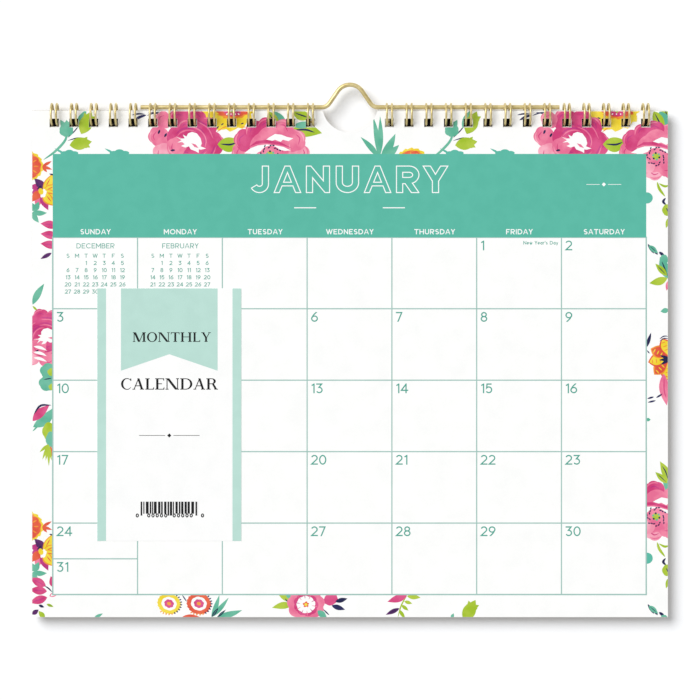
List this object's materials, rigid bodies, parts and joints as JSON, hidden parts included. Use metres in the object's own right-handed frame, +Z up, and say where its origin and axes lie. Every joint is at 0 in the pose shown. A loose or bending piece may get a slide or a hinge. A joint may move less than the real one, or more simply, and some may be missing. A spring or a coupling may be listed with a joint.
{
  "type": "wall calendar",
  "caption": "Monthly wall calendar bound along its top edge with gold twin-loop wire, hung from a rod with an arch for a nail.",
  "frame": {"origin": "the point under the hanger's arch where the nail bears", "axes": "+Z up, +X to the right as read, and the printed front faces -Y, away from the wall"},
  "size_m": [0.2733, 0.0098, 0.2297],
  "materials": {
    "hanger_gold": "gold-coloured coating, satin",
    "binding_gold": "gold-coloured coating, satin",
    "printed_leaf": "smooth uncoated white, printed in teal with a flower border",
    "plain_leaf": "smooth uncoated white",
    "label_card": "smooth white label with mint bands",
    "board": "grey chipboard"
  },
  "bodies": {
    "hanger": {"hanger_wire": "hanger_gold"},
    "calendar": {"left_wire_binding": "binding_gold", "right_wire_binding": "binding_gold", "following_sheets": "plain_leaf", "backing_board": "board"},
    "front_leaf": {"january_sheet": "printed_leaf", "cover_label": "label_card"}
  },
  "joints": [
    {"name": "hanger_fold", "type": "hinge", "parent": "hanger", "child": "calendar", "pos_m": [0, 0, -0.00875], "axis": [1, 0, 0], "range_deg": [-180, 180]},
    {"name": "january_lift", "type": "hinge", "parent": "calendar", "child": "front_leaf", "pos_m": [0, -0.0003, -0.0108], "axis": [-1, 0, 0], "range_deg": [0, 100]}
  ]
}
